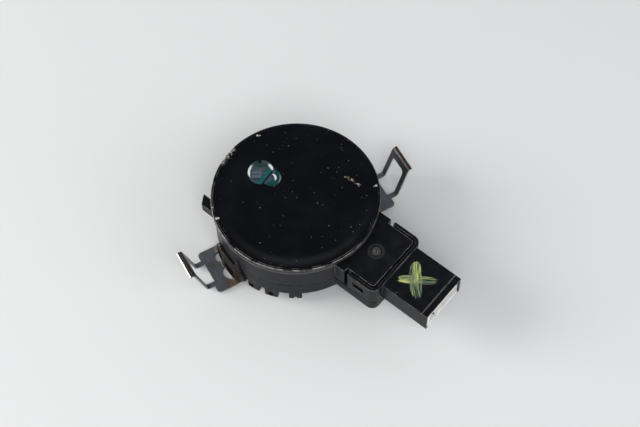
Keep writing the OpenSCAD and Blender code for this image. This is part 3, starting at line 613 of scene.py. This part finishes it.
# Torn silicone at one stretch of the rim, painted pale as a stand-in for the highlights on its nicked edge,
# and crumbs of it that stuck to the edge.
turned_by = maths(tree, "ARCTAN2", maths(tree, "MULTIPLY", y, -1.0), maths(tree, "MULTIPLY", x, -1.0))
from_axis = maths(tree, "SQRT", maths(tree, "ADD", both(tree, x, x), both(tree, y, y)))
torn_highlight_zone = both(tree, both(tree, ramp(tree, turned_by, -0.04, 0.03), ramp(tree, turned_by, 0.27, 0.20)),
                 ramp(tree, from_axis, 0.0210, 0.0219))
shreds = noise(tree, place_on_part, 1500.0, 3.0, 1.5)
torn_highlight_and_crumbs = both(tree, torn_highlight_zone, ramp(tree, shreds, 0.51, 0.57))
crumb_spots = [(-0.0114, -0.0186, 0.00036), (-0.0111, -0.0182, 0.00028), (-0.0144, -0.0168, 0.00018),
               (-0.0199, 0.0076, 0.00030), (-0.0194, 0.0080, 0.00018),
               (0.0147, 0.0157, 0.00030), (0.0144, 0.0152, 0.00016)]
for cx, cy, size in crumb_spots:
    torn_highlight_and_crumbs = either(tree, torn_highlight_and_crumbs, disc_mask(tree, x, y, (cx, cy), size, 0.00005))
face_colour = mix_colours(tree, torn_highlight_and_crumbs, face_colour, (0.46, 0.45, 0.41, 1))
# A loose trail of reddish lint beside it, broken into short bits.
lint_bits = noise(tree, place_on_part, 2100.0, 2.0, 1.0)
lint = both(tree, card_mask(tree, x, y, (0.0089, 0.0130), 0.0027, 0.00045, 0.03, 0.0002),
            ramp(tree, lint_bits, 0.56, 0.62))
face_colour = mix_colours(tree, lint, face_colour, (0.42, 0.33, 0.28, 1))
specks = either(tree, place_group(tree, dust, {"Scale": 620.0, "Amount": 0.06, "Size": 0.07})["Mask"],
                place_group(tree, dust, {"Scale": 1500.0, "Amount": 0.24, "Size": 0.11})["Mask"])
face_colour = mix_colours(tree, maths(tree, "MULTIPLY", specks, 0.8), face_colour, (0.30, 0.26, 0.22, 1))
# The shoulder gets a painted highlight, with a little wear, along the near side of the rim, on the crests of
# its fine teeth, and a second, fainter painted highlight line runs just inside it.
dashes = noise(tree, place_on_part, 420.0, 3.0)
teeth = ramp(tree, maths(tree, "PINGPONG", maths(tree, "MULTIPLY", turned_by, 150.0), 1.0), 0.30, 0.60,
             0.35, 1.0)
near_side = add_node(tree, "VectorMath", {0: place_on_part, 1: (0.10, -1.0, 0.0)},
                     operation="DOT_PRODUCT").outputs["Value"]
outer_highlight_line = both(tree, ramp(tree, from_axis, pad_radius - 0.00026, pad_radius - 0.00014), teeth)
inner_highlight_line = maths(tree, "MULTIPLY", ring_mask(tree, x, y, (0.0, 0.0), pad_radius - 0.0006, 0.00004,
                                               0.00004), 0.6)
rubbed_and_highlit = both(tree, either(tree, outer_highlight_line, inner_highlight_line), ramp(tree, dashes, 0.40, 0.56))
rubbed_and_highlit = both(tree, rubbed_and_highlit, ramp(tree, near_side, -0.012, 0.016, 0.10, 0.85))
rubbed_and_highlit = both(tree, rubbed_and_highlit, ramp(tree, z, pad_top - 0.00034, pad_top - 0.00022))
face_colour = mix_colours(tree, rubbed_and_highlit, face_colour, (0.38, 0.355, 0.33, 1))
feed(shader, "Base Color", face_colour)
tree.links.new(maths(tree, "MULTIPLY_ADD", specks, 0.4, ramp(tree, cloud, 0.3, 0.8, 0.07, 0.13)),
               shader.inputs["Roughness"])
shader.inputs["IOR"].default_value = 1.42
pad = add_piece("silicone_pad", surface_mesh("silicone_pad", pad_grid(2080, 22), closed_u=True),
                pad_silicone, sharp=60)
work = bmesh.new()
work.from_mesh(pad.data)
bmesh.ops.remove_doubles(work, verts=work.verts, dist=1e-7)
bmesh.ops.recalc_face_normals(work, faces=work.faces)
work.to_mesh(pad.data)
work.free()
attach(pad, "housing")
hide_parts("coupling_pad")

# ---- spring clip ----
# One strip of spring steel, blanked, bent and hardened: the band under the boss, a flange up
# each side of the wall, and two ears whose loops hook the mounting bracket.


clip_direction = math.radians(-111.5)
clip_cos, clip_sin = math.cos(clip_direction), math.sin(clip_direction)


def spring_steel(name, colour, patina, roughness, rub):
    """Hardened strip: rolled streaks, brown temper patches, pale blanked edges that are partly painted edge
    highlights, and specks.
    """
    material, tree, shader = new_material(name)
    place_on_part = add_node(tree, "TexCoord").outputs["Object"]
    cloud = noise(tree, place_on_part, 230.0, 5.0)
    along = add_node(tree, "Mapping", {"Vector": place_on_part, "Rotation": (0, 0, math.radians(111.5)),
                                       "Scale": (300.0, 4200.0, 900.0)}).outputs[0]
    rolled = noise(tree, along, 1.0, 3.0)
    wear_and_highlight_mask = place_group(tree, edge_wear_and_highlight, {"Width": 0.00013, "Wear": rub, "Patch": 500.0})["Mask"]
    specks = place_group(tree, dust, {"Scale": 800.0, "Amount": 0.12, "Size": 0.11})["Mask"]
    toned = mix_colours(tree, ramp(tree, cloud, 0.42, 0.68), colour, patina)
    streaked = mix_colours(tree, ramp(tree, rolled, 0.35, 0.7, 0.0, 0.35), toned,
                           tuple(1.3 * c for c in colour[:3]) + (1,))
    rubbed_and_highlit = mix_colours(tree, wear_and_highlight_mask, streaked, (0.66, 0.60, 0.53, 1))
    feed(shader, "Base Color", mix_colours(tree, specks, rubbed_and_highlit, (0.55, 0.53, 0.50, 1)))
    shader.inputs["Metallic"].default_value = 0.85
    feed(shader, "Roughness", ramp(tree, rolled, 0.2, 0.8, roughness - 0.06, roughness + 0.14))
    link_bump(tree, shader, rolled, 0.000012, 0.5)
    return material


band_steel = spring_steel("band_steel", (0.018, 0.015, 0.014, 1), (0.055, 0.033, 0.023, 1), 0.38, 0.4)
ear_steel = spring_steel("ear_steel", (0.20, 0.22, 0.25, 1), (0.17, 0.150, 0.135, 1), 0.33, 0.9)
# The crossbar of each loop is painted bright on its outward faces: partly rubbed where it hooks the bracket,
# partly a painted highlight.
tree = ear_steel.node_tree
shader = tree.nodes["Principled BSDF"]
place_on_part = add_node(tree, "TexCoord").outputs["Object"]
x, y, z = add_node(tree, "SeparateXYZ", {0: place_on_part}).outputs
along_left = maths(tree, "MULTIPLY_ADD", x, clip_cos,
                   maths(tree, "MULTIPLY", y, clip_sin))
out_along_clip = maths(tree, "ABSOLUTE", along_left)
scuffs = noise(tree, place_on_part, 1400.0, 3.0)
facing = add_node(tree, "SeparateXYZ", {0: add_node(tree, "NewGeometry").outputs["Normal"]}).outputs
faces_out = maths(tree, "MULTIPLY_ADD", facing[0], clip_cos,
                  maths(tree, "MULTIPLY", facing[1], clip_sin))
crossbar_zone = maths(tree, "MULTIPLY", ramp(tree, z, 0.0088, 0.0098), ramp(tree, out_along_clip, 0.0322, 0.0330))
crossbar_highlight_and_wear = maths(tree, "MULTIPLY", maths(tree, "MULTIPLY", crossbar_zone, ramp(tree, scuffs, 0.25, 0.42)),
               ramp(tree, maths(tree, "MULTIPLY", faces_out, maths(tree, "SIGN", along_left)), 0.12, 0.35))
colour_now = shader.inputs["Base Color"].links[0].from_socket
# Heat has turned one corner of the left ear's plate copper, where it meets its bend.
aside_left = maths(tree, "MULTIPLY_ADD", x, -clip_sin,
                   maths(tree, "MULTIPLY", y, clip_cos))
corner = maths(tree, "MULTIPLY", maths(tree, "MULTIPLY", ramp(tree, along_left, 0.0244, 0.0236),
                                       ramp(tree, along_left, 0.0, 0.001)),
                                       ramp(tree, aside_left, 0.0040, 0.0050))
colour_now = mix_colours(tree, corner, colour_now, (0.34, 0.215, 0.145, 1))
# The crossbar is painted darker brown, partly tarnish and partly a painted dark reflection.
crossbar_dark_reflection_and_tarnish = mix_colours(tree, maths(tree, "MULTIPLY", crossbar_zone, 0.75), colour_now, (0.07, 0.045, 0.032, 1))
feed(shader, "Base Color", mix_colours(tree, crossbar_highlight_and_wear, crossbar_dark_reflection_and_tarnish, (0.93, 0.86, 0.77, 1)))
rounded_copy("clip_band", "housing", band_steel, 0.00008)
rounded_copy("clip_ear_left", "ear_left", ear_steel, 0.00008)
rounded_copy("clip_ear_right", "ear_right", ear_steel, 0.00008)

# The strip is one piece: at each ear it bends from the wall's flange into the plate in three
# narrow necks, with a window between each two.

wall_radius, plate_top, neck_radius = 0.0227, 0.0010, 0.0009


def neck_solid(name, side_from, side_to, turn_by):
    """A web that fills the inner corner of the bend between two places across the strip. Its
    section is a hollow quarter circle closed by the corner, carried along the wall's curve."""
    s_line = np.linspace(side_from, side_to, 9)
    quarter = np.linspace(0, math.pi / 2, 9)
    out = np.concatenate([neck_radius * (1 - np.sin(quarter)), [-0.00005]])
    up = np.concatenate([neck_radius * (1 - np.cos(quarter)), [-0.00005]])
    wall = np.sqrt(wall_radius ** 2 - s_line ** 2)
    ahead = wall[:, None] + out[None, :]
    grid = np.stack([ahead * math.cos(turn_by) - s_line[:, None] * math.sin(turn_by),
                     ahead * math.sin(turn_by) + s_line[:, None] * math.cos(turn_by),
                     plate_top + up[None, :] + 0 * ahead], -1)
    mesh = surface_mesh(name, grid, closed_v=True)
    work = bmesh.new()
    work.from_mesh(mesh)
    work.verts.ensure_lookup_table()
    columns = grid.shape[1]
    work.faces.new([work.verts[i] for i in range(columns)])
    work.faces.new([work.verts[i] for i in range(len(work.verts) - columns, len(work.verts))])
    bmesh.ops.recalc_face_normals(work, faces=work.faces)
    work.to_mesh(mesh)
    work.free()
    return mesh


neck_steel = spring_steel("neck_steel", (0.050, 0.040, 0.034, 1), (0.16, 0.095, 0.06, 1), 0.34, 0.5)
for ear, turn_by in (("left", clip_direction), ("right", clip_direction + math.pi)):
    for number, (side_from, side_to) in enumerate([(-0.0062, -0.0045), (-0.0008, 0.0005), (0.0052, 0.0066)]):
        name = "neck_%s_%d" % (ear, number + 1)
        neck = add_piece(name, neck_solid(name, side_from, side_to, turn_by), neck_steel)
        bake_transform(neck)

# ---- rivets ----
# Two tubular steel rivets that hold the clip's band to the boss.

rivet_metal = plain_metal("rivet_metal", (0.42, 0.42, 0.43, 1), (0.24, 0.22, 0.20, 1), 0.3, 700.0)
rounded_copy("clip_rivets", "housing", rivet_metal, 0.0001)

# ---- circuit board and screws ----
# Glass-epoxy board with green solder resist, held under three posts by small screws.

board_resist, tree, shader = new_material("board_resist")
place_on_part = add_node(tree, "TexCoord").outputs["Object"]
weave = add_node(tree, "TexBrick", {"Vector": place_on_part, "Scale": 900.0}).outputs["Fac"]
tracks = add_node(tree, "TexVoronoi", {"Vector": place_on_part, "Scale": 260.0}, distance="MANHATTAN",
                  feature="F1").outputs["Distance"]
copper = ramp(tree, maths(tree, "PINGPONG", maths(tree, "MULTIPLY", tracks, 6.0), 1.0), 0.55, 0.62)
resist = mix_colours(tree, copper, (0.012, 0.075, 0.03, 1), (0.03, 0.13, 0.05, 1))
feed(shader, "Base Color", resist)
shader.inputs["Roughness"].default_value = 0.35
link_bump(tree, shader, maths(tree, "ADD", copper, maths(tree, "MULTIPLY", weave, 0.2)), 0.00002, 0.5)
dress("circuit_board", board_resist)
dress("board_screws", plain_metal("screw_metal", (0.50, 0.50, 0.51, 1), (0.33, 0.33, 0.34, 1), 0.28, 800.0))


# ---- optics inside ----
# Black light barrier, four clear collimating guides over the emitters and photodiodes, and
# the pipe that leads daylight from the window to its sensor.

def moulded(name, colour, darker, roughness, scale):
    """Small moulded part: two tones of its colour in slow clouds under a fine grain."""
    material, tree, shader = new_material(name)
    grain = place_group(tree, mould_grain, {"Scale": 5000.0, "Flow": scale})
    feed(shader, "Base Color", mix_colours(tree, ramp(tree, grain["Tone"], 0.4, 0.7), colour, darker))
    feed(shader, "Roughness", ramp(tree, grain["Tone"], 0.3, 0.8, roughness, roughness + 0.15))
    link_bump(tree, shader, grain["Height"], 0.00001, 0.4)
    return material


dress("optics_frame", moulded("barrier_black", (0.014, 0.014, 0.016, 1), (0.008, 0.008, 0.01, 1), 0.5,
                              400.0))
guide_clear, tree, shader = new_material("guide_clear")
place_on_part = add_node(tree, "TexCoord").outputs["Object"]
haze = noise(tree, place_on_part, 500.0, 2.0)
tree.links.new(mix_colours(tree, ramp(tree, haze, 0.4, 0.7), (0.80, 0.88, 0.92, 1), (0.66, 0.77, 0.83, 1)),
               shader.inputs["Base Color"])
shader.inputs["Roughness"].default_value = 0.05
shader.inputs["Transmission Weight"].default_value = 1.0
shader.inputs["IOR"].default_value = 1.58
dress("light_guides", guide_clear)
dress("light_pipe", guide_clear)

# ---- parts on the board ----
# Two infrared emitters and two photodiodes under the guides, the daylight sensor, and on the
# underside the microcontroller, the bus transceiver, the buffer capacitor and small chips.

dress("ir_emitters", moulded("emitter_resin", (0.07, 0.075, 0.085, 1), (0.04, 0.04, 0.05, 1), 0.2, 600.0))
dress("photodiodes", moulded("diode_resin", (0.02, 0.022, 0.03, 1), (0.012, 0.012, 0.018, 1), 0.15, 600.0))
dress("light_sensor", moulded("sensor_resin", (0.03, 0.035, 0.04, 1), (0.02, 0.02, 0.025, 1), 0.2, 600.0))
chip_epoxy = moulded("chip_epoxy", (0.018, 0.018, 0.02, 1), (0.03, 0.03, 0.032, 1), 0.45, 900.0)
dress("microcontroller", chip_epoxy)
dress("bus_transceiver", chip_epoxy)
dress("buffer_capacitor", plain_metal("can_aluminium", (0.70, 0.71, 0.72, 1), (0.52, 0.53, 0.54, 1), 0.3,
                                      500.0))
dress("chip_parts", moulded("chip_ceramic", (0.30, 0.24, 0.18, 1), (0.19, 0.15, 0.11, 1), 0.4, 900.0))
